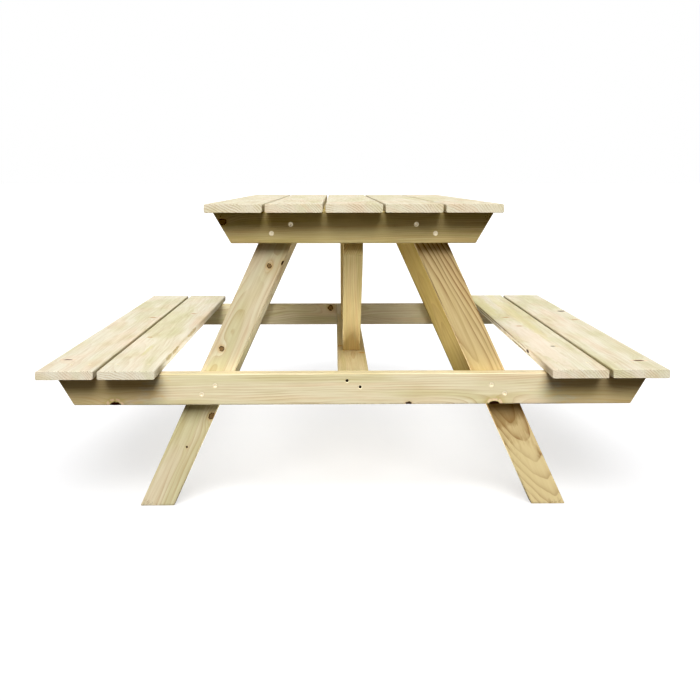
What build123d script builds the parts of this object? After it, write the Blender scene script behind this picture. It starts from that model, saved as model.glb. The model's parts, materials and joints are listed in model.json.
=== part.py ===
from build123d import *
import os
from typing import NamedTuple

# Garden picnic table with two fixed bench seats, made of softwood boards on two end frames.
# Millimetres. The origin is on the ground under the middle of the table, X runs across the
# table from seat to seat, Y runs along the boards and Z is up. The front end is at -Y.

# Overall sizes
table_height = 748
table_width = 1500
board_length = 1500

# Boards
board_thickness = 21
board_arris = 4
top_board_count = 5
top_board_width = 136.5
top_board_gap = 6
seat_height = 355
seat_board_width = 135.5
seat_board_gap = 9

# Frame timber: bearers and legs of one section, stretcher and braces of a stouter one
timber_depth = 76
timber_thickness = 38
bracing_thickness = 48
timber_arris = 3

# End frames
bearer_inset = 71
top_bearer_length = 683
top_bearer_end_cut = 45
seat_bearer_length = 1448
seat_bearer_end_cut = 47.5
leg_lean = 0.451
leg_foot_centre = 484.5

# Batten
batten_length = 640
batten_width = 75
batten_thickness = 21


class ScrewSize(NamedTuple):
    """Sizes of a wood screw: its shank and head radii and its length from head to point."""

    shank: float
    head: float
    length: float


# Screws
leg_screw = ScrewSize(shank=3, head=6, length=70)
stretcher_screw = ScrewSize(shank=2.25, head=4.25, length=90)
board_screw = ScrewSize(shank=2.25, head=4.25, length=50)
batten_screw = ScrewSize(shank=2, head=4, length=34)
brace_head_screw = ScrewSize(shank=2.5, head=5, length=62)
brace_foot_screw = ScrewSize(shank=2.5, head=5, length=72)
screw_point = 6
countersink_angle = 90
raised_head_rim = 0.7
recess_size = 0.36
recess_lobe_size = 0.34
recess_depth = 0.7

# Screw places, as distances from the middle of the table and heights
top_leg_screws = ((152.5, 697), (199, 675))
seat_leg_screws = ((336.5, 305), (369, 284))
stretcher_end_screws = ((16, 316), (-16, 300.5))
board_screw_spread = 38
support_end_margin = 35
brace_head_heights = (662, 684)
brace_head_seat = 33
brace_foot_places = (306, 340)
brace_foot_counterbore = 4
counterbore_radius = 6

# Heights and faces that follow
top_underside = table_height - board_thickness
seat_underside = seat_height - board_thickness
bearer_face = board_length / 2 - bearer_inset
leg_face = bearer_face - timber_thickness
bearer_middle = bearer_face - timber_thickness / 2
top_board_pitch = top_board_width + top_board_gap
seat_outer_centre = (table_width - seat_board_width) / 2
seat_inner_centre = seat_outer_centre - seat_board_width - seat_board_gap
frame_ends = {"front": -1, "back": 1}
table_sides = {"left": -1, "right": 1}


def export(piece, node):
    """Label a finished piece and write it to its own file."""
    piece.part.label = node
    export_step(piece.part, f"parts/{node}.step")


def facing(direction, places):
    """Planes at the given places, all facing one way."""
    return [Plane(origin=place, z_dir=direction) for place in places]


def both_sides(pairs, y):
    """Points to the left and right of the middle, from distances and heights."""
    return [(side * x, y, z) for x, z in pairs for side in table_sides.values()]


def screw_lines(centre, support_length):
    """Two screw lines across a board, kept in from the ends of the timber under it."""
    limit = support_length / 2 - support_end_margin
    lines = (centre - board_screw_spread, centre + board_screw_spread)
    return [max(-limit, min(limit, line)) for line in lines]


def sloping_edges(piece):
    """The long edges of a timber that is neither level nor upright."""
    return [edge for edge in piece.edges() if 0.05 < abs(edge.tangent_at(0.5).Z) < 0.95]


def board_screw_points(centre, bearer_length, height):
    """Points where a board is screwed down to both of its bearers."""
    lines = screw_lines(centre, bearer_length)
    return [(x, end * bearer_middle, height) for x in lines for end in frame_ends.values()]


def batten_screw_points(centre, height):
    """Points where a table-top board is screwed up from the batten under it."""
    return [(x, 0, height) for x in screw_lines(centre, batten_length)]


def countersunk_hole(screw):
    """A hole right through, countersunk for the screw's head."""
    CounterSinkHole(screw.shank, screw.head, counter_sink_angle=countersink_angle)


top_board_centres = [
    (index - (top_board_count - 1) / 2) * top_board_pitch for index in range(top_board_count)
]
seat_board_centres = {
    f"{side_name}_seat_board_{place}": side * centre
    for side_name, side in table_sides.items()
    for place, centre in (("inner", seat_inner_centre), ("outer", seat_outer_centre))
}


# Boards: planed, with rounded long edges, screwed down from above
def make_board(node, centre, underside, width, bearer_length, battened):
    """One board of the table top or of a seat."""
    screws = board_screw_points(centre, bearer_length, underside + board_thickness)
    with BuildPart() as board:
        with BuildSketch(Plane.XZ.offset(board_length / 2)):
            with Locations((centre, underside + board_thickness / 2)):
                RectangleRounded(width, board_thickness, board_arris)
        extrude(amount=-board_length)
        with Locations(*facing((0, 0, 1), screws)):
            countersunk_hole(board_screw)
        if battened:
            with Locations(*facing((0, 0, -1), batten_screw_points(centre, underside))):
                Hole(batten_screw.shank, depth=batten_screw.length - batten_thickness)
    export(board, node)


# Bearers: the cross rails that carry the boards, with both ends cut back below
def make_bearer(node, end, length, end_cut, top, leg_screws, board_centres, into_stretcher):
    """One bearer across the table, drilled for its leg, board and stretcher screws."""
    outer_face = end * bearer_face
    low_face = min(outer_face, end * leg_face)
    board_points = [
        point
        for centre in board_centres
        for point in board_screw_points(centre, length, top)
        if point[1] * end > 0
    ]
    with BuildPart() as bearer:
        with BuildSketch(Plane.XZ.offset(-low_face)):
            Polygon(
                (-length / 2, top),
                (length / 2, top),
                (length / 2 - end_cut, top - timber_depth),
                (-length / 2 + end_cut, top - timber_depth),
                align=None,
            )
        extrude(amount=-timber_thickness)
        fillet(bearer.edges().filter_by(Axis.X), timber_arris)
        with Locations(*facing((0, end, 0), both_sides(leg_screws, outer_face))):
            countersunk_hole(leg_screw)
        with Locations(*facing((0, 0, 1), board_points)):
            Hole(board_screw.shank, depth=board_screw.length - board_thickness)
        if into_stretcher:
            end_points = [(end * x, outer_face, z) for x, z in stretcher_end_screws]
            with Locations(*facing((0, end, 0), end_points)):
                countersunk_hole(stretcher_screw)
        else:
            head_points = [(0, end * leg_face, z) for z in brace_head_heights]
            with Locations(*facing((0, -end, 0), head_points)):
                Hole(brace_head_screw.shank, depth=brace_head_screw.length - brace_head_seat)
    export(bearer, node)


# Legs: splayed outwards, level at the foot and under the table top
def make_leg(node, side, end):
    """One leg, behind both bearers of its end frame."""
    half_width = timber_depth / 2 * (1 + leg_lean**2) ** 0.5
    head_centre = leg_foot_centre - leg_lean * top_underside
    low_face = min(end * leg_face, end * (leg_face - timber_thickness))
    screws = [(side * x, end * leg_face, z) for x, z in top_leg_screws + seat_leg_screws]
    with BuildPart() as leg:
        with BuildSketch(Plane.XZ.offset(-low_face)):
            Polygon(
                (side * (leg_foot_centre - half_width), 0),
                (side * (leg_foot_centre + half_width), 0),
                (side * (head_centre + half_width), top_underside),
                (side * (head_centre - half_width), top_underside),
                align=None,
            )
        extrude(amount=-timber_thickness)
        fillet(sloping_edges(leg), timber_arris)
        with Locations(*facing((0, end, 0), screws)):
            Hole(leg_screw.shank, depth=leg_screw.length - timber_thickness)
    export(leg, node)


# Stretcher: the flat rail that joins the two end frames at seat height
def make_stretcher():
    """The stretcher, with holes for its end screws and for the feet of the braces."""
    foot_points = [
        (0, end * y, seat_underside - bracing_thickness)
        for y in brace_foot_places
        for end in frame_ends.values()
    ]
    with BuildPart() as stretcher:
        with BuildSketch(Plane.XZ.offset(leg_face)):
            with Locations((0, seat_underside - bracing_thickness / 2)):
                RectangleRounded(timber_depth, bracing_thickness, timber_arris)
        extrude(amount=-2 * leg_face)
        with Locations(*facing((0, 0, -1), foot_points)):
            CounterBoreHole(brace_foot_screw.shank, counterbore_radius, brace_foot_counterbore)
        for end in frame_ends.values():
            end_points = [(end * x, end * leg_face, z) for x, z in stretcher_end_screws]
            with Locations(*facing((0, end, 0), end_points)):
                Hole(stretcher_screw.shank, depth=stretcher_screw.length - timber_thickness)
    export(stretcher, "stretcher")


# Braces: from high on each top bearer down and inwards to the stretcher, at 45 degrees
def make_brace(node, end):
    """One brace, with a plumb cut at its head and a level cut at its foot."""
    cut_length = timber_depth * 2**0.5
    head_bottom = top_underside - cut_length
    foot_outer = leg_face - (head_bottom - seat_underside)
    foot_inner = leg_face - (top_underside - seat_underside)
    head_seat = leg_face - brace_head_seat
    head_points = [(0, end * (head_seat - cut_length), z) for z in brace_head_heights]
    foot_points = [(0, end * y, seat_underside) for y in brace_foot_places]
    foot_depth = brace_foot_screw.length + brace_foot_counterbore - bracing_thickness
    with BuildPart() as brace:
        with BuildSketch(Plane.YZ.offset(-bracing_thickness / 2)):
            Polygon(
                (end * leg_face, head_bottom),
                (end * leg_face, top_underside),
                (end * foot_inner, seat_underside),
                (end * foot_outer, seat_underside),
                align=None,
            )
        extrude(amount=bracing_thickness)
        fillet(sloping_edges(brace), timber_arris)
        with Locations(*facing((0, -end, 0), head_points)):
            CounterBoreHole(brace_head_screw.shank, counterbore_radius, cut_length)
        with Locations(*facing((0, 0, -1), foot_points)):
            Hole(brace_foot_screw.shank, depth=foot_depth)
    export(brace, node)


# Batten: keeps the table-top boards level with each other half way along
def make_batten():
    """The flat batten under the middle of the table top."""
    underside = top_underside - batten_thickness
    screws = [
        point for centre in top_board_centres for point in batten_screw_points(centre, underside)
    ]
    with BuildPart() as batten:
        with BuildSketch(Plane.YZ.offset(-batten_length / 2)):
            with Locations((0, underside + batten_thickness / 2)):
                RectangleRounded(batten_width, batten_thickness, timber_arris)
        extrude(amount=batten_length)
        with Locations(*facing((0, 0, -1), screws)):
            countersunk_hole(batten_screw)
    export(batten, "middle_batten")


# Screws: a six-lobe recess in each head, shanks simplified to plain rods with a point
def make_screw(sizes, countersunk):
    """One screw at the origin, its head's top face at Z = 0 and its point downwards."""
    shank, head, length = sizes
    head_depth = head - shank
    if countersunk:
        head_outline = [(0, 0), (head, 0), (shank, -head_depth)]
    else:
        head_outline = [(0, head_depth), (head * raised_head_rim, head_depth), (head, 0), (shank, 0)]
    with BuildPart() as screw:
        with BuildSketch(Plane.XZ):
            with BuildLine():
                Polyline(*head_outline, (shank, screw_point - length), (0, -length), close=True)
            make_face()
        revolve(axis=Axis.Z)
        with BuildSketch(Plane.XY.offset(head_outline[0][1])):
            Circle(head * recess_size)
            with PolarLocations(head * recess_size, 6):
                Circle(head * recess_size * recess_lobe_size)
        extrude(amount=-head_depth * recess_depth, mode=Mode.SUBTRACT)
    return screw.part


def make_screws(node, sizes, planes, countersunk=True):
    """A group of identical screws, each a separate solid pointing back along its plane."""
    screw = make_screw(sizes, countersunk)
    with BuildPart() as screws:
        with Locations(*planes):
            add(screw)
    export(screws, node)


def make_all_screws():
    """Every screw in the table, one node for each kind of joint."""
    across_ends = {end: (0, end, 0) for end in frame_ends.values()}
    for node, places in (("top_leg_screws", top_leg_screws), ("seat_leg_screws", seat_leg_screws)):
        planes = []
        for end, outwards in across_ends.items():
            planes += facing(outwards, both_sides(places, end * bearer_face))
        make_screws(node, leg_screw, planes)

    end_planes = []
    head_planes = []
    foot_points = []
    for end, outwards in across_ends.items():
        end_points = [(end * x, end * bearer_face, z) for x, z in stretcher_end_screws]
        end_planes += facing(outwards, end_points)
        head_points = [(0, end * (leg_face - brace_head_seat), z) for z in brace_head_heights]
        head_planes += facing((0, -end, 0), head_points)
        foot_seat = seat_underside - bracing_thickness + brace_foot_counterbore
        foot_points += [(0, end * y, foot_seat) for y in brace_foot_places]
    make_screws("stretcher_screws", stretcher_screw, end_planes)
    make_screws("brace_head_screws", brace_head_screw, head_planes, countersunk=False)
    foot_planes = facing((0, 0, -1), foot_points)
    make_screws("brace_foot_screws", brace_foot_screw, foot_planes, countersunk=False)

    top_points = []
    for centre in top_board_centres:
        top_points += board_screw_points(centre, top_bearer_length, table_height)
    make_screws("top_board_screws", board_screw, facing((0, 0, 1), top_points))
    seat_points = []
    for centre in seat_board_centres.values():
        seat_points += board_screw_points(centre, seat_bearer_length, seat_height)
    make_screws("seat_board_screws", board_screw, facing((0, 0, 1), seat_points))
    batten_points = []
    for centre in top_board_centres:
        batten_points += batten_screw_points(centre, top_underside - batten_thickness)
    make_screws("batten_screws", batten_screw, facing((0, 0, -1), batten_points))


def make_table():
    """Make every piece and write it to the parts folder."""
    os.makedirs("parts", exist_ok=True)
    for number, centre in enumerate(top_board_centres, start=1):
        node = f"top_board_{number}"
        make_board(node, centre, top_underside, top_board_width, top_bearer_length, True)
    for node, centre in seat_board_centres.items():
        make_board(node, centre, seat_underside, seat_board_width, seat_bearer_length, False)
    make_batten()
    for end_name, end in frame_ends.items():
        make_bearer(
            f"top_bearer_{end_name}", end, top_bearer_length, top_bearer_end_cut,
            top_underside, top_leg_screws, top_board_centres, False,
        )
        make_bearer(
            f"seat_bearer_{end_name}", end, seat_bearer_length, seat_bearer_end_cut,
            seat_underside, seat_leg_screws, seat_board_centres.values(), True,
        )
        for side_name, side in table_sides.items():
            make_leg(f"leg_{end_name}_{side_name}", side, end)
        make_brace(f"brace_{end_name}", end)
    make_stretcher()
    make_all_screws()


make_table()
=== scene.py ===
"""A garden picnic table with two fixed bench seats, in planed softwood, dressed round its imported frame.

Sizes and places in the classes are in millimetres, in the table's own frame: X from seat to seat, Y along the boards,
Z up, the front end at -Y. The meshes are written in metres.
"""

import json
import logging
import math
from dataclasses import dataclass, field, replace
from enum import Enum
from typing import ClassVar

import bpy
import numpy as np
from mathutils import Matrix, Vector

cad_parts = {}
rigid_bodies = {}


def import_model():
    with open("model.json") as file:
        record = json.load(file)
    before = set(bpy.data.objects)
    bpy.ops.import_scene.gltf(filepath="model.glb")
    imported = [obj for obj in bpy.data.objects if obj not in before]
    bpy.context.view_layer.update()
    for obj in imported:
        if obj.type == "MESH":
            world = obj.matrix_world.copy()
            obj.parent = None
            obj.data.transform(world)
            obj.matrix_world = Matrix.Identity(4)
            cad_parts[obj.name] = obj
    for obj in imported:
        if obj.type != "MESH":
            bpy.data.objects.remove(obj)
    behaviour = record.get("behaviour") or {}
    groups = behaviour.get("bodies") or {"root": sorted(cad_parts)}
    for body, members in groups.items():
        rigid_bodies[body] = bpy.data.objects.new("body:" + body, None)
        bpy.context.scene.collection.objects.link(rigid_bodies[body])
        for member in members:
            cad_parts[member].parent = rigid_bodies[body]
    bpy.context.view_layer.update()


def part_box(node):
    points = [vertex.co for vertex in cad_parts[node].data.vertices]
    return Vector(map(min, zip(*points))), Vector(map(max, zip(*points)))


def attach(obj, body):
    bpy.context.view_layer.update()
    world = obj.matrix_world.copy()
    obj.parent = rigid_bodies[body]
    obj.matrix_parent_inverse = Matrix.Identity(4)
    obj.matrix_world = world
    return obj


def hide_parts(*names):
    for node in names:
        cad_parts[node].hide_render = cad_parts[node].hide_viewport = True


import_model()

log = logging.getLogger("picnic_table")

Vec = tuple[float, float, float]
Rgb = tuple[int, int, int]
Rgba = tuple[float, float, float, float]
Shell = tuple[np.ndarray, list[np.ndarray]]
Blobs = tuple[float, Vec, float, float]
MM = 0.001
SHARP_TIMBER = 42.0
SHARP_STEEL = 35.0
CLEARANCE = 2.0


def unit(way: Vec | np.ndarray) -> np.ndarray:
    """A vector made one unit long."""
    way = np.asarray(way, float)
    return way / np.linalg.norm(way)


def linear(red: int, green: int, blue: int) -> Rgba:
    """A colour of 0 to 255 on a screen, as the linear light that a shader takes."""
    part = np.array([red, green, blue]) / 255
    part = np.where(part <= 0.04045, part / 12.92, ((part + 0.055) / 1.055) ** 2.4)
    return (*part.tolist(), 1.0)


def ripple(points: np.ndarray, stretch: Vec, seed: int) -> np.ndarray:
    """Smooth noise of about -1 to 1: a sum of sine waves in random directions, over the root of half their number.

    Args:
        points: places, with x, y and z on the last axis.
        stretch: how far apart the bumps are along each axis.
        seed: picks the waves.

    Returns:
        One value for each point.
    """
    waves, peak = 16, 1.6
    rng = np.random.default_rng(seed)
    ways = rng.normal(size=(waves, 3))
    ways *= (2 * np.pi * rng.uniform(0.5, 1.6, waves) / np.linalg.norm(ways, axis=1))[:, None]
    phase = rng.uniform(0, 2 * np.pi, waves)
    return np.sin((points / np.array(stretch)) @ ways.T + phase).sum(-1) / math.sqrt(waves / 2) / peak


def smooth(low: float, high: float, value: np.ndarray) -> np.ndarray:
    """A smooth step from 0 at low to 1 at high: three t squared less two t cubed, of the clamped share t."""
    t = np.clip((value - low) / (high - low), 0, 1)
    return t * t * (3 - 2 * t)


# Shader maths


class Signal:
    """An output socket in shader maths. The operators add Math nodes to its recipe."""

    def __init__(self, recipe: "Recipe", socket: bpy.types.NodeSocket) -> None:
        """Keeps the socket and the recipe that its nodes go into."""
        self.recipe, self.socket = recipe, socket

    def _do(self, operation: str, *others: "Signal | float") -> "Signal":
        """One Math node on this signal and others."""
        return self.recipe.maths(operation, self, *others)

    def __add__(self, other: "Signal | float") -> "Signal":
        """The sum."""
        return self._do("ADD", other)

    __radd__ = __add__

    def __mul__(self, other: "Signal | float") -> "Signal":
        """The product."""
        return self._do("MULTIPLY", other)

    __rmul__ = __mul__

    def __sub__(self, other: "Signal | float") -> "Signal":
        """This less the other."""
        return self._do("SUBTRACT", other)

    def __rsub__(self, other: float) -> "Signal":
        """A number less this."""
        return self.recipe.maths("SUBTRACT", other, self)

    def __truediv__(self, other: "Signal | float") -> "Signal":
        """This over the other."""
        return self._do("DIVIDE", other)

    def __pow__(self, power: float) -> "Signal":
        """This raised to a power."""
        return self._do("POWER", power)

    def fraction(self) -> "Signal":
        """What is left above the whole number."""
        return self._do("FRACT")

    def root(self) -> "Signal":
        """The square root."""
        return self._do("SQRT")

    def exp(self) -> "Signal":
        """e raised to this."""
        return self._do("EXPONENT")

    def size(self) -> "Signal":
        """The value without its sign."""
        return self._do("ABSOLUTE")

    def most(self, other: "Signal | float") -> "Signal":
        """The larger of the two."""
        return self._do("MAXIMUM", other)

    def step(self, low: float, high: float) -> "Signal":
        """A smooth step.

        Args:
            low: where it is 0.
            high: where it is 1. It may be the smaller, for a step down.

        Returns:
            A signal of 0 to 1.
        """
        down = low > high
        a, b = (high, low) if down else (low, high)
        node = self.recipe.node(
            "ShaderNodeMapRange",
            {"interpolation_type": "SMOOTHSTEP"},
            {"Value": self, "From Min": a, "From Max": b, "To Min": float(down), "To Max": float(not down)},
        )
        return Signal(self.recipe, node.outputs["Result"])


Input = Signal | bpy.types.NodeSocket | float | tuple[float, ...]


class Recipe:
    """The nodes of one material or of the world."""

    def __init__(self, owner: bpy.types.Material | bpy.types.World) -> None:
        """Starts with no nodes.

        Args:
            owner: the new material or world.
        """
        self.owner = owner
        owner.use_nodes = True
        self.tree = owner.node_tree
        self.tree.nodes.clear()

    @classmethod
    def material(cls, name: str) -> "Recipe":
        """A recipe for a new material."""
        return cls(bpy.data.materials.new(name))

    def node(self, kind: str, settings: dict | None = None, sockets: dict | None = None) -> bpy.types.Node:
        """Adds a node.

        Args:
            kind: the node's type.
            settings: its properties, which are set first.
            sockets: values or links by the name or the number of the input.

        Returns:
            The new node.
        """
        made = self.tree.nodes.new(kind)
        for key, value in (settings or {}).items():
            setattr(made, key, value)
        for key, value in (sockets or {}).items():
            value = value.socket if isinstance(value, Signal) else value
            if isinstance(value, bpy.types.NodeSocket):
                self.tree.links.new(value, made.inputs[key])
            else:
                made.inputs[key].default_value = value
        return made

    def maths(self, operation: str, *values: Signal | float) -> Signal:
        """A Math node on one, two or three values."""
        made = self.node("ShaderNodeMath", {"operation": operation}, dict(enumerate(values)))
        return Signal(self, made.outputs[0])

    def vector(self, operation: str, *values: Input) -> bpy.types.NodeSocket:
        """A Vector Math node's vector result."""
        return self.node("ShaderNodeVectorMath", {"operation": operation}, dict(enumerate(values))).outputs[0]

    def measure(self, operation: str, *values: Input) -> Signal:
        """A Vector Math node's single value, such as a length or a dot product."""
        made = self.node("ShaderNodeVectorMath", {"operation": operation}, dict(enumerate(values)))
        return Signal(self, made.outputs["Value"])

    def objects(self) -> bpy.types.NodeSocket:
        """The piece's own coordinates, in metres."""
        return self.node("ShaderNodeTexCoord").outputs["Object"]

    def millimetres(self) -> bpy.types.NodeSocket:
        """The piece's own coordinates, in mm."""
        return self.vector("MULTIPLY", self.objects(), (1 / MM, 1 / MM, 1 / MM))

    def parts(self, place: bpy.types.NodeSocket) -> tuple[Signal, ...]:
        """The X, Y and Z of a vector."""
        made = self.node("ShaderNodeSeparateXYZ", {}, {"Vector": place})
        return tuple(Signal(self, socket) for socket in made.outputs)

    def noise(
        self,
        place: bpy.types.NodeSocket,
        scale: float,
        stretch: Vec = (1, 1, 1),
        detail: float = 2.0,
        rough: float = 0.5,
    ) -> Signal:
        """Noise of 0 to 1, about 0.5 on average.

        Args:
            place: the coordinates, in mm.
            scale: how far apart the blobs are, in mm.
            stretch: how much longer they are along each axis.
            detail: octaves of finer noise.
            rough: how strong the finer noise is.

        Returns:
            The noise.
        """
        shrunk = self.vector("MULTIPLY", place, tuple(1 / (scale * s) for s in stretch))
        inputs = {"Vector": shrunk, "Scale": 1.0, "Detail": detail, "Roughness": rough}
        return Signal(self, self.node("ShaderNodeTexNoise", {}, inputs).outputs[0])

    def mix(self, share: Input, first: Input, second: Input, blend: str = "MIX") -> bpy.types.NodeSocket:
        """A colour between two others.

        Args:
            share: how much of the second, 0 to 1.
            first: a colour.
            second: another colour.
            blend: how the second goes over the first.

        Returns:
            The mixed colour.
        """
        settings = {"data_type": "RGBA", "blend_type": blend, "clamp_factor": True}
        factor, colour_a, colour_b, result = 0, 6, 7, 2
        made = self.node("ShaderNodeMix", settings, {factor: share, colour_a: first, colour_b: second})
        return made.outputs[result]

    def finish(self, sockets: dict, height: Signal | None = None, depth: float = 0.0) -> bpy.types.Material:
        """Adds the surface shader.

        Args:
            sockets: values or links of the Principled shader's inputs.
            height: relief of 0 to 1, if there is any.
            depth: what a relief of 1 stands for, in mm.

        Returns:
            The material.
        """
        surface = self.node("ShaderNodeBsdfPrincipled", {}, sockets)
        if height is not None:
            bump = self.node("ShaderNodeBump", {}, {"Height": height, "Distance": depth * MM, "Strength": 1.0})
            self.tree.links.new(bump.outputs[0], surface.inputs["Normal"])
        self.node("ShaderNodeOutputMaterial", {}, {"Surface": surface.outputs[0]})
        return self.owner


# Finishes


class Branch(Enum):
    """What kind of knot a branch left in the timber."""

    LIVE = "live"
    DEAD = "dead"
    LOOSE = "loose"
    SHADE = "shade"
    PIN = "pin"


@dataclass(frozen=True)
class KnotLook:
    """How a kind of knot looks: its colours, and how strong its middle, its rim and the ring round it are."""

    heart: Rgb
    vein: Rgb
    fill: float
    rim: float
    halo: float
    edge: Rgb = (48, 32, 24)
    glow: Rgb = (204, 166, 98)
    rim_at: float = 1.0


KNOT_LOOKS = {
    Branch.LIVE: KnotLook((196, 150, 94), (160, 112, 62), 0.6, 0.35, 0.45),
    Branch.DEAD: KnotLook((142, 114, 74), (84, 60, 38), 0.85, 0.95, 0.4),
    Branch.LOOSE: KnotLook((42, 22, 14), (26, 14, 10), 1.0, 0.75, 0.45, (240, 214, 188), (196, 182, 96), 1.3),
    Branch.SHADE: KnotLook((92, 58, 36), (60, 38, 26), 0.95, 0.6, 0.5, (60, 36, 24), (240, 206, 176)),
    Branch.PIN: KnotLook((60, 42, 30), (36, 25, 20), 0.95, 0.9, 0.25),
}


@dataclass(frozen=True)
class Knot:
    """A knot: where its middle comes to the surface, how thick the branch was and which way it ran.

    Attributes:
        at: its middle on the surface, in the table's frame.
        radius: the branch's radius.
        way: the branch's direction, in the table's frame.
        kind: what the branch left.
        squeeze: how much shorter it is along the timber than across it.
    """

    at: Vec
    radius: float = 7.0
    way: Vec = (0, 0, 1)
    kind: Branch = Branch.LIVE
    squeeze: float = 1.0


@dataclass(frozen=True)
class StainOrShade:
    """A ragged patch of another colour: its middle, its half sizes along, across and deep, its colour and strength.
    Some are real marks in the wood, some are painted shade.
    """

    at: Vec
    size: Vec
    colour: Rgb
    strength: float = 0.6


@dataclass(frozen=True)
class Stock:
    """What the parts of a timber's material share.

    Attributes:
        recipe: its nodes.
        place: coordinates along, across and deep, mm.
        own: the same, moved by the seed.
        origin: a point on the timber's middle line, mm.
        axes: its length, width and depth directions, as rows.
    """

    recipe: Recipe
    place: bpy.types.NodeSocket
    own: bpy.types.NodeSocket
    origin: np.ndarray
    axes: np.ndarray

    def shifted(self, by: Vec) -> bpy.types.NodeSocket:
        """The seed's coordinates, moved again so that one noise differs from another."""
        return self.recipe.vector("ADD", self.own, by)

    def away(self, at: Vec) -> bpy.types.NodeSocket:
        """The way from a place in the table's frame, along, across and deep."""
        return self.recipe.vector("SUBTRACT", self.place, tuple(self.axes @ (np.array(at) - self.origin)))


@dataclass(frozen=True)
class Softwood:
    """Planed, pressure-treated softwood. Its growth rings are cones round a pith that usually lies outside the timber.

    Attributes:
        seed: moves the noise, so that no two timbers are alike.
        ring: the mean width of a growth ring, mm.
        pith: where the pith passes, across and deep from the timber's middle line, mm.
        drift: how far the pith wanders across and deep for each mm along the timber.
        sway: how far the rings swing from side to side, mm.
        contrast: how dark the latewood is, 0 to 1.
        early: the earlywood's colour.
        late: the latewood's colour.
        tint: how strong the green and pink patches are.
        knots: the knots in it.
        stains_and_shade: patches of another colour: real marks such as bark, resin or treatment, and painted shade
            where other timbers shade this one.
        length: the timber's length, mm.
        keen: how narrow the dark lines are: the power of the climb to latewood.
        bands: how often the colour changes from ring to ring.
        bow: the place along the timber where the pith is nearest, and how fast it falls away, per square mm.
    """

    seed: int = 1
    ring: float = 4.5
    pith: tuple[float, float] = (10.0, -60.0)
    drift: tuple[float, float] = (0.02, 0.02)
    sway: float = 5.0
    contrast: float = 0.5
    early: Rgb = (230, 222, 194)
    late: Rgb = (182, 150, 98)
    tint: float = 0.35
    knots: tuple[Knot, ...] = ()
    stains_and_shade: tuple[StainOrShade, ...] = ()
    length: float = 1500.0
    keen: float = 2.4
    bands: float = 0.42
    bow: tuple[float, float] = (600.0, 0.0)

    SWAY_ACROSS: ClassVar[Blobs] = (70, (4.0, 1, 1), 1.5, 0.5)
    SWAY_DEEP: ClassVar[Blobs] = (60, (4.5, 1, 1), 1.5, 0.5)
    WARP: ClassVar[Blobs] = (45, (6, 1, 1), 2.0, 0.5)
    FAINT_RINGS: ClassVar[Blobs] = (34, (7, 1, 1), 1.0, 0.5)
    FIBRE: ClassVar[Blobs] = (1.1, (42, 1, 1), 2.5, 0.6)
    STREAK: ClassVar[Blobs] = (7.0, (26, 1, 1), 2.0, 0.5)
    PATCH: ClassVar[Blobs] = (55, (3.2, 1, 1), 2.0, 0.5)
    BLUSH: ClassVar[Blobs] = (75, (2.6, 1, 1), 2.0, 0.5)
    FRAY: ClassVar[Blobs] = (2.6, (1, 1, 1), 2.0, 0.5)
    KERF: ClassVar[Blobs] = (1.0, (1, 1, 9), 2.0, 0.5)
    RAGGED: ClassVar[Blobs] = (9, (3.5, 1, 1), 2.0, 0.5)
    OLIVE: ClassVar[Rgba] = (0.79, 0.80, 0.56, 1)
    PINK: ClassVar[Rgba] = (0.99, 0.86, 0.80, 1)
    BROWN: ClassVar[Rgba] = (0.66, 0.56, 0.38, 1)
    FRAYED: ClassVar[Rgb] = (128, 100, 58)
    FRAY_REACH: ClassVar[float] = 6.0
    SEED_STEP: ClassVar[Vec] = (731.0, 377.0, 191.0)
    SAWN_POWER: ClassVar[float] = 4.5
    RELIEF: ClassVar[float] = 0.25

    def dress(self, name: str, origin: np.ndarray, axes: np.ndarray) -> bpy.types.Material:
        """Makes the material of one timber.

        The distance from the pith line, swayed by slow noise and pushed aside near each knot, is divided by the ring
        width. Its fraction climbs from pale earlywood to dark latewood and drops back at once.

        Args:
            name: the material's name.
            origin: a point on the timber's middle line, mm.
            axes: its length, width and depth directions, as rows.

        Returns:
            The material.
        """
        r = Recipe.material(name)
        place = r.node(
            "ShaderNodeMapping",
            {"vector_type": "TEXTURE"},
            {
                "Vector": r.objects(),
                "Location": tuple(origin * MM),
                "Rotation": tuple(Matrix(axes.T.tolist()).to_euler("XYZ")),
                "Scale": (MM, MM, MM),
            },
        ).outputs[0]
        own = r.vector("ADD", place, tuple(self.seed * step for step in self.SEED_STEP))
        stock = Stock(r, place, own, origin, axes)
        along = r.parts(place)[0]
        marks = [(knot, *self.knot_marks(stock, knot)) for knot in self.knots]
        radius = self.from_pith(stock)
        for _, _, _, push in marks:
            radius = radius + push

        warp = r.noise(stock.shifted((0, 0, 411)), *self.WARP) - 0.5
        count = radius / self.ring + warp * 1.1
        beat = count.fraction()
        drop = beat.step(1.0, 0.92)
        normal = r.node("ShaderNodeNewGeometry").outputs["Normal"]
        sawn = r.measure("DOT_PRODUCT", normal, tuple(axes[0])).size().step(0.55, 0.8)
        planed = 1 - sawn
        strong = r.noise(stock.shifted((177, 0, 0)), *self.FAINT_RINGS).step(0.3, 0.7) * 0.8 + 0.2
        late = (beat**self.keen) * drop * strong * planed + (beat**self.SAWN_POWER) * drop * strong * sawn

        fibre = r.noise(own, *self.FIBRE)
        streak = r.noise(own, *self.STREAK)
        patch = r.noise(own, *self.PATCH).step(0.42, 0.72)
        blush = r.noise(stock.shifted((0, 517, 0)), *self.BLUSH).step(0.45, 0.75)
        by_ring = {"X": count * self.bands, "Y": along * 0.0016 + self.seed * 3.7, "Z": 0.5}
        band = r.noise(r.node("ShaderNodeCombineXYZ", {}, by_ring).outputs[0], 1.0, detail=1.0)
        grit = ((streak - 0.5) * 0.7 + (fibre - 0.5) * 0.6) * (1 - sawn * 0.85) + 0.13

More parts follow.
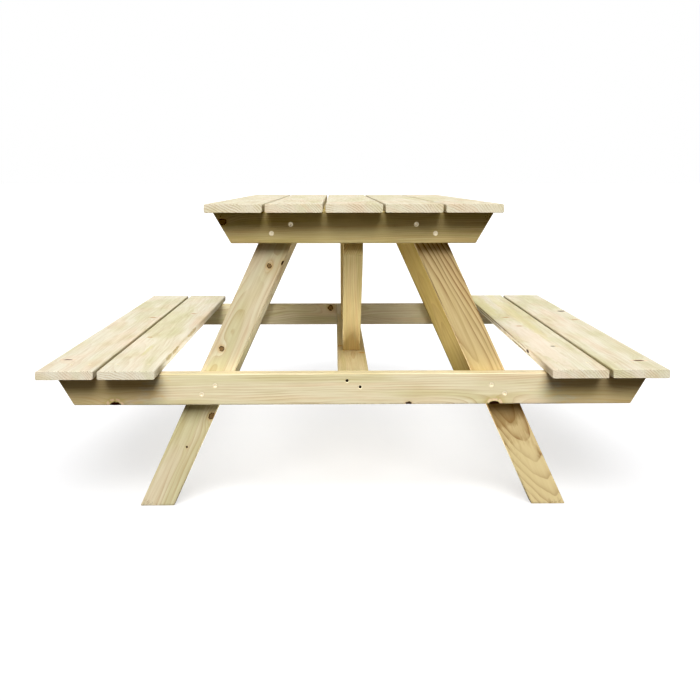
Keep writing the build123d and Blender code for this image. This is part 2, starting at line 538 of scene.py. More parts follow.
        colour = r.mix(late * (sawn * 0.55 + self.contrast), linear(*self.early), linear(*self.late))
        for share, tone in (
            (band.step(0.5, 0.68) * self.tint, self.OLIVE),
            (band.step(0.48, 0.34) * self.tint, self.PINK),
            (patch * (self.tint * 0.8), self.OLIVE),
            (blush * (self.tint * 0.8), self.PINK),
            (grit, self.BROWN),
        ):
            colour = r.mix(share, colour, tone, "MULTIPLY")
        near_cut = along.step(self.FRAY_REACH, 0.5).most(along.step(self.length - self.FRAY_REACH, self.length - 0.5))
        fray = near_cut * r.noise(own, *self.FRAY).step(0.54, 0.68) * (1 - sawn * 0.8)
        colour = r.mix(fray * 0.8, colour, linear(*self.FRAYED))
        colour = self.stained_and_shaded(stock, colour)
        for knot, gap, rim, _ in marks:
            look = KNOT_LOOKS[knot.kind]
            near = gap / knot.radius
            colour = r.mix(near.step(2.5, 0.9) * look.halo, colour, linear(*look.glow))
            grain = (near / 0.3 + fibre).fraction() * 0.5
            heart = r.mix(grain, linear(*look.heart), linear(*look.vein))
            colour = r.mix(near.step(1.04, 0.86) * look.fill, colour, heart)
            colour = r.mix(rim * look.rim, colour, linear(*look.edge))

        rough = (fibre - 0.5) * 0.25 + late * -0.12 + 0.66 + sawn * 0.12
        kerf = r.noise(own, *self.KERF)
        relief = late * 0.35 + fibre * 0.45 + sawn * kerf * 0.35 - fray * 0.8
        for _, _, rim, _ in marks:
            relief = relief - rim * 1.2
        return r.finish({"Base Color": colour, "Roughness": rough, "Specular IOR Level": 0.35}, relief, self.RELIEF)

    def from_pith(self, stock: Stock) -> Signal:
        """The distance in mm from the pith line, which drifts, bows and is swayed by slow noise."""
        r = stock.recipe
        slow = r.noise(stock.own, *self.SWAY_ACROSS) - 0.5
        slow_too = r.noise(stock.shifted((0, 913, 0)), *self.SWAY_DEEP) - 0.5
        along, across, deep = r.parts(stock.place)
        out_across = across - self.pith[0] - along * self.drift[0] + slow * (4 * self.sway)
        out_deep = deep - self.pith[1] - along * self.drift[1] + slow_too * (4 * self.sway)
        if self.bow[1]:
            from_bow = along - self.bow[0]
            out_deep = out_deep - from_bow * from_bow * self.bow[1]
        return (out_across * out_across + out_deep * out_deep).root()

    def stained_and_shaded(self, stock: Stock, colour: bpy.types.NodeSocket) -> bpy.types.NodeSocket:
        """Lays the patches over a colour, real marks and painted shade alike, each fading out at about its half sizes,
        with a ragged edge.

        Args:
            stock: the timber's recipe and coordinates.
            colour: the colour without these patches.

        Returns:
            The colour with the patches laid over it.
        """
        r = stock.recipe
        for number, stain_or_shade in enumerate(self.stains_and_shade):
            share = r.measure("LENGTH", r.vector("DIVIDE", stock.away(stain_or_shade.at), stain_or_shade.size))
            ragged = share + (r.noise(stock.shifted((0, 0, number * 91.0)), *self.RAGGED) - 0.5) * 1.3
            colour = r.mix(ragged.step(1.1, 0.7) * stain_or_shade.strength, colour, linear(*stain_or_shade.colour))
        return colour

    def knot_marks(self, stock: Stock, knot: Knot) -> tuple[Signal, Signal, Signal]:
        """The fields that one knot makes.

        The gap is the distance from the branch's middle line, which is the length of the cross product with its
        direction, with a ragged wobble. The rings are pushed out by a bell curve of that distance, stretched along
        the timber. The rim is a thin band about the branch's radius, torn by noise.

        Args:
            stock: the timber's recipe and coordinates.
            knot: the knot.

        Returns:
            The gap, the rim and the push.
        """
        r, radius, from_it = stock.recipe, knot.radius, stock.away(knot.at)
        way = tuple(unit(stock.axes @ np.array(knot.way, float)))

        def off_line(stretch: float) -> Signal:
            """The distance from the branch's middle line, with lengths along the timber stretched."""
            stretched = r.vector("MULTIPLY", from_it, (stretch, 1, 1))
            return r.measure("LENGTH", r.vector("CROSS_PRODUCT", stretched, way))

        moved = stock.shifted((knot.at[0], knot.at[2], 0))
        gap = off_line(knot.squeeze) + (r.noise(moved, radius * 0.9, detail=2.0) - 0.5) * (radius * 0.7)
        far = off_line(0.42) / (radius * 2.1)
        push = (far * far * -1.0).exp() * (radius * 1.6)
        rim_at = KNOT_LOOKS[knot.kind].rim_at
        rim = ((gap - radius * rim_at).size() / (radius * 0.22 * rim_at)).step(1.0, 0.3)
        torn = r.noise(moved, radius * 0.6, detail=1.0).step(0.36, 0.5)
        return gap, rim * torn, push


@dataclass(frozen=True)
class BareSteel:
    """Bright zinc-plated steel, a little clouded, with faint turning marks."""

    colour: Rgb = (246, 236, 212)
    cloud: Rgb = (206, 190, 158)

    def dress(self, name: str) -> bpy.types.Material:
        """Makes the material."""
        r = Recipe.material(name)
        place = r.millimetres()
        cloud = r.noise(place, 3.0, detail=3.0)
        fine = r.noise(place, 0.5, detail=2.0)
        colour = r.mix(cloud.step(0.35, 0.8) * 0.35, linear(*self.colour), linear(*self.cloud))
        rough = cloud * 0.2 + fine * 0.12 + 0.25
        return r.finish({"Base Color": colour, "Metallic": 0.6, "Roughness": rough}, fine, 0.02)


@dataclass(frozen=True)
class BlackedSteel:
    """Screws with a black phosphate coat, clouded where it is thin."""

    colour: Rgb = (40, 36, 33)
    cloud: Rgb = (70, 62, 54)

    def dress(self, name: str) -> bpy.types.Material:
        """Makes the material."""
        r = Recipe.material(name)
        cloud = r.noise(r.millimetres(), 2.0, detail=3.0)
        colour = r.mix(cloud.step(0.4, 0.8) * 0.5, linear(*self.colour), linear(*self.cloud))
        return r.finish({"Base Color": colour, "Metallic": 0.3, "Roughness": cloud * 0.3 + 0.35}, cloud, 0.03)


# Shapes


def shell(rows: np.ndarray, first: np.ndarray, last: np.ndarray) -> Shell:
    """Closes a tube of rings with a point at each end.

    Args:
        rows: rings of points, of shape (rings, points, 3).
        first: the point that closes the first ring.
        last: the point that closes the last ring.

    Returns:
        The vertices, and the quads and the triangles as arrays of vertex numbers, wound to face outwards.
    """
    rings, around, _ = rows.shape
    verts = np.concatenate([rows.reshape(-1, 3), [first, last]])
    number = np.arange(rings * around).reshape(rings, around)
    after = np.roll(number, -1, axis=1)
    quads = np.stack([number[:-1], after[:-1], after[1:], number[1:]], -1).reshape(-1, 4)
    start = np.stack([np.full(around, rings * around), after[0], number[0]], -1)
    end = np.stack([np.full(around, rings * around + 1), number[-1], after[-1]], -1)
    tris = np.concatenate([start, end])
    split = np.concatenate([quads[:, [0, 1, 2]], quads[:, [0, 2, 3]], tris])
    a, b, c = (verts[split[:, i]] - verts.mean(0) for i in range(3))
    if np.einsum("ij,ij->i", a, np.cross(b, c)).sum() < 0:
        quads, tris = quads[:, ::-1], tris[:, ::-1]
    return verts, [quads, tris]


def turned(radii: np.ndarray, depths: np.ndarray, around: int) -> np.ndarray:
    """Rings about an axis: the radius times the cosine and the sine of the angle, and the depth.

    Args:
        radii: a radius for each ring, or for each of its points, with rings on the first axis.
        depths: each ring's depth.
        around: points in a ring.

    Returns:
        Points of shape (rings, around, 3).
    """
    turn = np.linspace(0, 2 * np.pi, around, endpoint=False)
    radii = np.broadcast_to(radii, (len(depths), around))
    return np.stack([radii * np.cos(turn), radii * np.sin(turn), np.broadcast_to(depths[:, None], radii.shape)], -1)


def shade(mesh: bpy.types.Mesh, keen: float) -> None:
    """Shades a mesh smooth, but for the edges that turn past an angle in degrees."""
    mesh.polygons.foreach_set("use_smooth", np.ones(len(mesh.polygons), bool))
    mesh.set_sharp_from_angle(angle=math.radians(keen))


def mesh_object(name: str, parts: list[Shell], keen: float = SHARP_TIMBER) -> bpy.types.Object:
    """Puts shells into one object.

    Args:
        name: the object's name.
        parts: vertices in mm, with their quads and triangles.
        keen: the angle in degrees past which an edge stays sharp.

    Returns:
        The object, at the origin.
    """
    mesh = bpy.data.meshes.new(name)
    start, verts, faces = 0, [], []
    for points, (quads, tris) in parts:
        verts.append(points)
        faces += (quads + start).tolist() + (tris + start).tolist()
        start += len(points)
    mesh.from_pydata((np.concatenate(verts) * MM).tolist(), [], faces)
    shade(mesh, keen)
    mesh.update()
    made = bpy.data.objects.new(name, mesh)
    bpy.context.scene.collection.objects.link(made)
    return made


def place_piece(piece: bpy.types.Object, node: str, material: bpy.types.Material) -> None:
    """Dresses a finished piece and lets it stand for its CAD node.

    Args:
        piece: the finished object.
        node: the CAD node that it stands for.
        material: its material.
    """
    piece.data.materials.clear()
    piece.data.materials.append(material)
    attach(piece, "root")
    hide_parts(node)
    log.info("%s: %d faces", piece.name, len(piece.data.polygons))


@dataclass(frozen=True)
class Screw:
    """A wood screw with a lobed recess.

    Attributes:
        head: the head's radius.
        shank: the thread's outer radius.
        length: from the top of the head to the tip.
        pitch: the thread's pitch.
        around: points round it.
        sunk: how far the head lies under the surface.
        flare: how much wider the countersink is than the head.
        raised: a raised head on a counterbored seat, instead of a countersunk one.
    """

    head: float
    shank: float
    length: float
    pitch: float = 2.8
    around: int = 24
    sunk: float = 0.25
    flare: float = 0.45
    raised: bool = False

    LOBES: ClassVar[int] = 6
    RECESS: ClassVar[float] = 0.5
    ROOT: ClassVar[float] = 0.72
    RIDGE: ClassVar[float] = 0.22
    SMOOTH_SHARE: ClassVar[float] = 0.35
    HEAD_DEPTH: ClassVar[float] = 0.95
    HEAD_GAP: ClassVar[float] = 0.18
    SHANK_GAP: ClassVar[float] = 0.15
    BORE_AROUND: ClassVar[int] = 32

    def frame_of(self, way: np.ndarray) -> np.ndarray:
        """Two directions across the screw and the one along it, as rows."""
        aside = unit(np.cross(way, (0.3, 0.2, 1.0) if abs(way[2]) < 0.9 else (1.0, 0.2, 0.0)))
        return np.stack([aside, np.cross(way, aside), way])

    def shape(self, at: Vec, way: Vec) -> Shell:
        """The screw itself.

        Each ring has a radius and a depth. In the recess the radius swells with the cosine of the angle times the
        number of lobes. On the thread it rises in a narrow ridge wherever depth over pitch, less the angle over a full
        turn, is about half way between whole numbers.

        Args:
            at: the middle of the hole, on the surface.
            way: into the timber.

        Returns:
            The shell.
        """
        head, shank, length = self.head, self.shank, self.length
        recess, cone = head * self.RECESS, head * self.HEAD_DEPTH
        top = shank - head if self.raised else 0.0
        floor = top + recess * (0.6 if self.raised else 0.95)
        rim = [(0.8, 0.0), (0.97, 0.06), (1.0, 0.22), (0.97, 0.5)]
        neck = [(0.95, cone), (self.ROOT, cone + 0.8)]
        if self.raised:
            rim = [(0.72, 0.04), (0.88, 0.6), (0.98, 1.5), (1.0, -top)]
            neck = [(1.0, 0.05), (self.ROOT, 0.8)]
        outline = np.array(
            [
                (recess * 0.45, floor, 0.1),
                (recess * 0.92, floor - recess * 0.1, 0.14),
                (recess, top + 0.12, 0.14),
                (recess * 1.12, top, 0.08),
                *((head * wide, top + deep, 0.0) for wide, deep in rim),
                *((shank * wide, deep, 0.0) for wide, deep in neck),
            ]
        )
        turn = np.linspace(0, 2 * np.pi, self.around, endpoint=False)
        plain = outline[:, :1] * (1 + outline[:, 2:] * np.cos(self.LOBES * turn))
        smooth_end = length * self.SMOOTH_SHARE
        steps = int((length - smooth_end - 2 * shank) / self.pitch * 6)
        thread = np.linspace(smooth_end + 0.4, length - 0.4, steps)
        phase = (thread[:, None] / self.pitch - turn / (2 * np.pi)) % 1
        ridge = np.clip(1 - np.abs(phase - 0.5) / self.RIDGE, 0, 1)
        taper = np.clip((length - thread) / (2.4 * shank), 0.08, 1)[:, None]
        smooth_ring = np.full((1, self.around), shank * self.ROOT)
        radii = np.concatenate([plain, smooth_ring, shank * (0.66 + 0.34 * ridge) * taper])
        flat = turned(radii, np.concatenate([outline[:, 1], [smooth_end], thread]), self.around)
        axes = self.frame_of(unit(way))
        base = np.array(at, float) + axes[2] * self.sunk
        return shell(flat @ axes + base, axes[2] * floor + base, axes[2] * length + base)

    def bore(self, at: Vec, way: Vec, through: float) -> Shell:
        """The shape that is cut out for it: an open countersink or a counterbore, and a clearance hole.

        Args:
            at: the middle of the hole, on the surface.
            way: into the timber.
            through: how deep the hole goes.

        Returns:
            The shell.
        """
        head, shank, flare = self.head + self.HEAD_GAP, self.shank + self.SHANK_GAP, self.flare
        outline = [
            (head + flare * 2, -2.0),
            (head + flare, 0.0),
            (head, flare * 1.1),
            (head, flare * 1.1 + self.sunk),
            (shank, self.head * self.HEAD_DEPTH + 0.6 + self.sunk),
            (shank, through),
        ]
        if self.raised:
            outline = [(head + 0.8, -60.0), (head + 0.8, 0.0), (shank, 0.02), (shank, through)]
        radii, depths = np.array(outline).T
        axes = self.frame_of(unit(way))
        base = np.array(at, float)
        flat = turned(radii[:, None], depths, self.BORE_AROUND)
        return shell(flat @ axes + base, axes[2] * depths[0] + base, axes[2] * through + base)


@dataclass(frozen=True)
class Hole:
    """Where a screw enters a timber: on its surface, which way, and how deep its clearance hole is."""

    screw: Screw
    at: Vec
    way: Vec
    through: float


@dataclass(frozen=True)
class Wane:
    """A stretch of a long edge where the log's round outside was left on.

    Attributes:
        corner: which edge: the signs of its width and depth directions.
        middle: its middle, along the timber from the start.
        half: half its length.
        depth: how much of the edge is missing.
    """

    corner: tuple[int, int]
    middle: float
    half: float
    depth: float


def node_box(node: str) -> tuple[np.ndarray, np.ndarray]:
    """A CAD node's lowest and highest corners, mm."""
    low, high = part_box(node)
    return np.array(low) / MM, np.array(high) / MM


@dataclass
class Timber:
    """A planed timber: a rectangle with rounded corners carried from one saw cut to the other.

    Attributes:
        node: the CAD node that it stands for.
        start: where its middle line meets the first cut.
        end: where its middle line meets the last cut.
        broad: the direction of its width.
        width: its width.
        depth: its thickness.
        arris: the radius of its long edges.
        start_cut: the first cut's normal.
        end_cut: the last cut's normal.
        wood: its finish.
        slot: the record's material slot. Not used.
        holes: the screws that enter it.
        wanes: stretches of waney edge.
    """

    node: str
    start: Vec
    end: Vec
    broad: Vec
    width: float
    depth: float
    arris: float
    wood: Softwood
    slot: str
    start_cut: Vec | None = None
    end_cut: Vec | None = None
    holes: list[Hole] = field(default_factory=list)
    wanes: list[Wane] = field(default_factory=list)

    CORNERS: ClassVar[list[tuple[int, int]]] = [(1, 1), (-1, 1), (-1, -1), (1, -1)]
    CUT_RINGS: ClassVar[list[float]] = [1.0, 0.96, 0.88, 0.76, 0.62, 0.46, 0.3, 0.14]
    RING_GAP: ClassVar[float] = 5.0
    SOFT_END: ClassVar[float] = 0.7
    SKIM: ClassVar[float] = 0.14
    SLOW_WAVE: ClassVar[float] = 0.10
    FINE_WAVE: ClassVar[float] = 0.04
    KNOT_DIP: ClassVar[float] = 0.35
    KNOT_SWELL: ClassVar[float] = 0.12

    @classmethod
    def filling(
        cls,
        node: str,
        axis: int,
        arris: float,
        wood: Softwood,
        slot: str,
        holes: list[Hole],
        wanes: tuple[Wane, ...] = (),
    ) -> "Timber":
        """A timber with square ends that fills its CAD node's box.

        Args:
            node: the CAD node.
            axis: 0 if it runs along X, 1 if along Y.
            arris: the radius of its long edges.
            wood: its finish.
            slot: the record's material slot.
            holes: the screws that enter it.
            wanes: stretches of waney edge.

        Returns:
            The timber.
        """
        low, high = node_box(node)
        start, end, broad = (low + high) / 2, (low + high) / 2, np.zeros(3)
        start[axis], end[axis], broad[1 - axis] = low[axis], high[axis], 1.0
        width, depth = high[1 - axis] - low[1 - axis], high[2] - low[2]
        return cls(node, start, end, broad, width, depth, arris, wood, slot, holes=holes, wanes=list(wanes))

    def axes(self) -> np.ndarray:
        """The length, width and depth directions, as rows."""
        along = unit(np.subtract(self.end, self.start))
        broad = unit(self.broad)
        return np.stack([along, broad, np.cross(along, broad)])

    def outline(self, inset: float, step: float = 3.4) -> np.ndarray:
        """The section: straight runs, and quarter circles at the corners.

        Args:
            inset: how much smaller it is on every side.
            step: the length of the pieces of the straight runs.

        Returns:
            Points of width and depth, anticlockwise.
        """
        half = np.array([self.width, self.depth]) / 2 - inset
        bend = max(self.arris - inset * 0.5, 0.4)
        runs = [max(int(2 * (h - self.arris) / step), 3) + 1 for h in half + inset]
        quarter = np.linspace(0, np.pi / 2, 6)[1:-1]

        def on_arc(corner: int, angle: np.ndarray) -> np.ndarray:
            """Points of a corner's circle, the corner's middle plus the radius times cosine and sine."""
            centre = np.array(self.CORNERS[corner % 4]) * (half - bend)
            return centre + bend * np.stack([np.cos(angle), np.sin(angle)], -1)

        points = []
        for corner in range(4):
            last = (corner + 1) * np.pi / 2
            here, there = on_arc(corner, last), on_arc(corner + 1, last)
            share = np.linspace(0, 1, runs[corner % 2])[:, None]
            points += [on_arc(corner, quarter + corner * np.pi / 2), here + (there - here) * share]
        return np.concatenate(points)

    def relief(self, place: np.ndarray) -> np.ndarray:
        """How deep the surface lies under the planed size, never less than 0.

        Slow noise for planing that isn't quite true, a shallow swelling and hollow round each knot, and the missing
        edge where there is wane.

        Args:
            place: places along, across and deep, mm.

        Returns:
            The depth at each, mm.
        """
        seed = self.wood.seed
        depth = self.SKIM + self.SLOW_WAVE * ripple(place, (160, 60, 60), seed)
        depth += self.FINE_WAVE * ripple(place, (70, 9, 9), seed + 50)
        axes, origin = self.axes(), np.array(self.start, float)
        for knot in self.wood.knots:
            centre = axes @ (np.array(knot.at) - origin)
            way = unit(axes @ np.array(knot.way, float))
            gap = np.linalg.norm(np.cross(place - centre, way), axis=-1) / knot.radius
            depth += self.KNOT_DIP * np.exp(-((gap - 1.0) ** 2) * 6) - self.KNOT_SWELL * np.exp(-(gap**2) * 3)
        for wane in self.wanes:
            edge = np.array([wane.corner[0] * self.width, wane.corner[1] * self.depth]) / 2
            near = np.abs(place[..., 1:] - edge).sum(-1)
            span = smooth(1.0, 0.0, np.abs(place[..., 0] - wane.middle) / wane.half)
            rag = 1 + 0.45 * ripple(place, (34, 14, 14), seed + 9)
            depth += np.clip(wane.depth * span * rag - near * 0.5, 0, None)
        return np.clip(depth, 0, None)

    def surface(self) -> Shell:
        """The closed shell: each point of the section runs in a straight line from the first cut to the last.

        Where a line starts and ends follows from the cuts' planes: a point w, t of the section meets a cut at minus
        the dot product of its offset and the normal over the normal's share along the timber. The last bit before a
        cut draws in, and each cut is filled with smaller and smaller copies of the section.

        Returns:
            The shell, in the table's frame.
        """
        axes = self.axes()
        start, end = np.array(self.start, float), np.array(self.end, float)
        length = np.linalg.norm(end - start)
        cuts = [axes @ unit(axes[0] if cut is None else cut) for cut in (self.start_cut, self.end_cut)]
        soft = self.SOFT_END

        def meets(points: np.ndarray, which: int) -> np.ndarray:
            """Where lines through the points of the section meet a cut."""
            cut = cuts[which]
            return which * length - (points @ cut[1:]) / cut[0]

        full, drawn = self.outline(0.0), self.outline(soft)
        count = max(int(length / self.RING_GAP), 12)
        share = np.linspace(0, 1, count)[:, None]
        low, high = meets(full, 0) + soft, meets(full, 1) - soft
        section = np.broadcast_to(full, (count, *full.shape))
        sides = np.concatenate([(low + (high - low) * share)[..., None], section], -1)
        beyond = np.roll(full, -1, axis=0) - np.roll(full, 1, axis=0)
        outward = np.stack([beyond[:, 1], -beyond[:, 0]], -1)
        outward /= np.maximum(np.linalg.norm(outward, axis=1, keepdims=True), 1e-9)
        sides[..., 1:] -= self.relief(sides)[..., None] * outward

        def cap(which: int) -> np.ndarray:
            """The rings that fill a cut, from its edge to near its middle."""
            rings = np.array(self.CUT_RINGS)[:, None, None] * drawn
            flat = np.pad(full, ((0, 0), (1, 0)))
            rag = 0.18 * ripple(flat, (9, 2.2, 2.2), self.wood.seed + 5)
            rings[0] *= 1 - np.abs(rag)[:, None] / np.linalg.norm(drawn, axis=1, keepdims=True)
            return np.concatenate([meets(rings, which)[..., None], rings], -1)

        rows = np.concatenate([cap(0)[::-1], sides, cap(1)])
        verts, faces = shell(rows, np.zeros(3), np.array([length, 0, 0]))
        return verts @ axes + start, faces

    def build(self) -> bpy.types.Object:
        """Makes the mesh, cuts the screw holes, dresses it and gives back the object."""
        name = self.node + "_timber"
        piece = mesh_object(name, [self.surface()])
        if self.holes:
            tool = mesh_object(name + "_bores", [h.screw.bore(h.at, h.way, h.through) for h in self.holes])
            cut = piece.modifiers.new("bores", "BOOLEAN")
            cut.object, cut.operation, cut.solver = tool, "DIFFERENCE", "EXACT"
            bored = bpy.data.meshes.new_from_object(piece.evaluated_get(bpy.context.evaluated_depsgraph_get()))
            piece.modifiers.clear()
            whole, piece.data = piece.data, bored
            bored.name = name
            spent = tool.data
            bpy.data.objects.remove(tool)
            for mesh in (whole, spent):
                bpy.data.meshes.remove(mesh)
            shade(bored, SHARP_TIMBER)
        start, end = np.array(self.start, float), np.array(self.end, float)
        wood = replace(self.wood, length=float(np.linalg.norm(end - start)))
        place_piece(piece, self.node, wood.dress(name, start, self.axes()))
        return piece


LEG_SCREW = Screw(head=6.0, shank=3.0, length=70.0)
STRETCHER_SCREW = Screw(head=3.1, shank=2.25, length=88.0, sunk=1.9, flare=1.3)
BOARD_SCREW = Screw(head=4.25, shank=2.25, length=50.0, pitch=2.4, around=18, sunk=0.5)
BATTEN_SCREW = Screw(head=4.0, shank=2.0, length=34.0, pitch=2.4, around=18, sunk=0.4)
BRACE_HEAD_SCREW = Screw(head=5.0, shank=2.5, length=62.0, around=18, sunk=0.0, raised=True)
BRACE_FOOT_SCREW = Screw(head=5.0, shank=2.5, length=72.0, around=18, sunk=0.0, raised=True)


def spread(middle: float, apart: float, limit: float) -> list[float]:
    """Two places on either side of a middle, kept within a limit of the table's own middle."""
    return np.clip([middle - apart, middle + apart], -limit, limit).tolist()


@dataclass
class Boards:
    """The five boards of the top and the four of the seats, which all run along Y with their heart side down.

    Attributes:
        arris: the radius of their long edges.
        bearer_middle: how far the bearers' middles are from the table's.
        screw_spread: how far each screw is from its board's middle line.
        end_margin: the least distance from a screw to the bearer's end.
    """

    arris: float = 4.0
    bearer_middle: float = 660.0
    screw_spread: float = 38.0
    end_margin: float = 35.0

    def woods(self) -> dict[str, Softwood]:
        """Each board's finish."""
        top = Softwood(ring=5.6, contrast=0.36, tint=0.36, early=(231, 226, 208), bands=0.2)
        seat = Softwood(ring=5.6, contrast=0.26, tint=0.42, early=(229, 225, 210), bands=0.16)
        piths = ((-88, 128), (-96, 118), (-84, 134), (-92, 124), (-100, 116))
        drifts = ((0.02, 0.012), (-0.02, 0.015), (0.025, -0.01), (-0.015, 0.014), (0.02, -0.012))
        tops = {
            f"top_board_{number}": replace(top, seed=10 + number, pith=pith, drift=drift)
            for number, pith, drift in zip(range(1, 6), piths, drifts)
        }
        return tops | {
            "left_seat_board_outer": replace(
                seat,
                seed=21,
                pith=(-80, 120),
                knots=(
                    Knot((-714, -598, 355), 10, (0.5, 0.1, 1), Branch.SHADE, 2.4),
                    Knot((-601, 703, 355), 6, (0.3, 0, 1), Branch.PIN),
                    Knot((-640, 150, 355), 7, (0.3, 0, 1), Branch.LIVE),
                ),
            ),
            "left_seat_board_inner": replace(
                seat,
                seed=22,
                pith=(-60, 96),
                drift=(0.01, 0.035),
                knots=(Knot((-520, 240, 355), 6, (0.2, 0, 1)), Knot((-574, -250, 355), 5, (0.2, 0, 1))),
                stains_and_shade=(
                    StainOrShade((-469, -545, 352), (52, 4.5, 8), (184, 166, 112), 0.6),
                    StainOrShade((-469, -440, 352), (60, 4, 8), (172, 150, 98), 0.6),
                    StainOrShade((-469, -130, 352), (110, 4, 8), (178, 156, 104), 0.55),
                    StainOrShade((-540, -460, 355), (90, 6, 4), (206, 200, 132), 0.35),
                ),
            ),
            "right_seat_board_inner": replace(
                seat,
                seed=23,
                pith=(-88, 112),
                knots=(
                    Knot((515, 137, 355), 8, (0.3, 0, 1), Branch.LIVE, 1.3),
                    Knot((523, -54, 355), 7, (0.3, 0, 1), Branch.LIVE, 1.3),
                    Knot((545, -420, 355), 6, (0.2, 0, 1), Branch.PIN, 1.5),
                ),
                stains_and_shade=(
                    StainOrShade((469, 40, 350), (520, 5, 1.7), (104, 80, 46), 0.85),
                    StainOrShade((469, 260, 343), (420, 5, 1.5), (92, 68, 40), 0.85),
                    StainOrShade((469, -330, 341), (150, 5, 2.0), (96, 72, 44), 0.8),
                    StainOrShade((469, -452, 347), (16, 5, 5), (50, 32, 24), 0.95),
                    StainOrShade((556, 250, 355), (620, 20, 8), (216, 207, 156), 0.35),
                    StainOrShade((486, 520, 355), (420, 30, 8), (212, 205, 152), 0.45),
                    StainOrShade((515, -330, 355), (420, 32, 8), (232, 222, 210), 0.5),
                ),
            ),
            "right_seat_board_outer": replace(
                seat,
                seed=24,
                pith=(-94, 122),
                knots=(
                    Knot((733, 285, 355), 11, (0.3, 0, 1), Branch.PIN, 1.3),
                    Knot((729, 81, 355), 8, (0.3, 0, 1), Branch.LIVE, 1.3),
                    Knot((712, -632, 355), 12, (0.2, 0, 1), Branch.SHADE, 2.0),
                ),
            ),
        }

    def screw_places(self, node: str) -> list[Hole]:
        """The two screws into each bearer, kept in from the bearers' sloping ends."""
        low, high = node_box(node)
        _, bearer = node_box("top_bearer_front" if node.startswith("top") else "seat_bearer_front")
        xs = spread((low[0] + high[0]) / 2, self.screw_spread, bearer[0] - self.end_margin)
        through = float(high[2] - low[2]) + CLEARANCE
        ys = (-self.bearer_middle, self.bearer_middle)
        return [Hole(BOARD_SCREW, (x, y, float(high[2])), (0, 0, -1), through) for y in ys for x in xs]

    def build(self) -> None:
        """Makes the nine boards."""
        bark_edge = (Wane((1, -1), 200, 50, 2.2), Wane((1, -1), 310, 40, 1.8), Wane((1, -1), 620, 90, 2))
        for node, wood in self.woods().items():
            wanes = bark_edge if node == "left_seat_board_inner" else ()
            Timber.filling(node, 1, self.arris, wood, "boards", self.screw_places(node), wanes).build()


